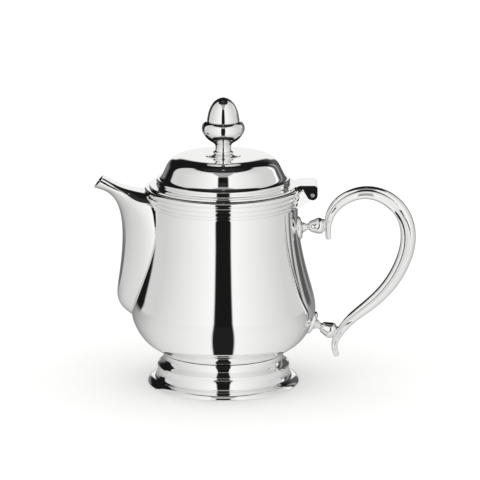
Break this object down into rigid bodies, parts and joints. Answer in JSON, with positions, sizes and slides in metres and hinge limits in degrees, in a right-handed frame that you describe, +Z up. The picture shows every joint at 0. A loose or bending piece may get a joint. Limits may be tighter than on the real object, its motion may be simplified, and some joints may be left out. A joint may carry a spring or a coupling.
{
  "type": "teapot",
  "caption": "Footed bell-shaped silver teapot with a beak spout, a scroll handle on turned arms and a hinged domed lid with an acorn finial.",
  "frame": {"origin": "on the table, below the middle of the whole teapot from the lip of the spout to the back of the handle", "axes": "+Z up, +X towards the handle, -X towards the lip of the spout, +Y across; the lid's hinge pin lies along Y"},
  "size_m": [0.1933, 0.111, 0.1756],
  "materials": {
    "silver_body": "polished silver plate",
    "silver_fittings": "polished cast silver plate",
    "silver_lid": "polished silver plate",
    "steel": "satin"
  },
  "bodies": {
    "pot": {"body_shell": "silver_body", "rim_collar": "silver_body", "foot_ring": "silver_body", "spout_shell": "silver_body", "handle_scroll": "silver_fittings", "upper_rosette": "silver_fittings", "upper_baluster": "silver_fittings", "lower_rosette": "silver_fittings", "lower_baluster": "silver_fittings", "hinge_bracket": "silver_fittings", "hinge_pin": "steel"},
    "lid": {"hinge_lid_leaf": "silver_fittings", "lid_shell": "silver_lid", "lid_bezel": "silver_lid", "finial_base": "silver_lid", "finial_cup": "silver_lid", "finial_acorn": "silver_lid", "finial_stud": "steel", "finial_washer": "steel", "finial_nut": "steel"}
  },
  "joints": [
    {"name": "lid_hinge", "type": "hinge", "parent": "pot", "child": "lid", "pos_m": [0.03417, 0, 0.118], "axis": [0, 1, 0], "range_deg": [0, 100]}
  ]
}
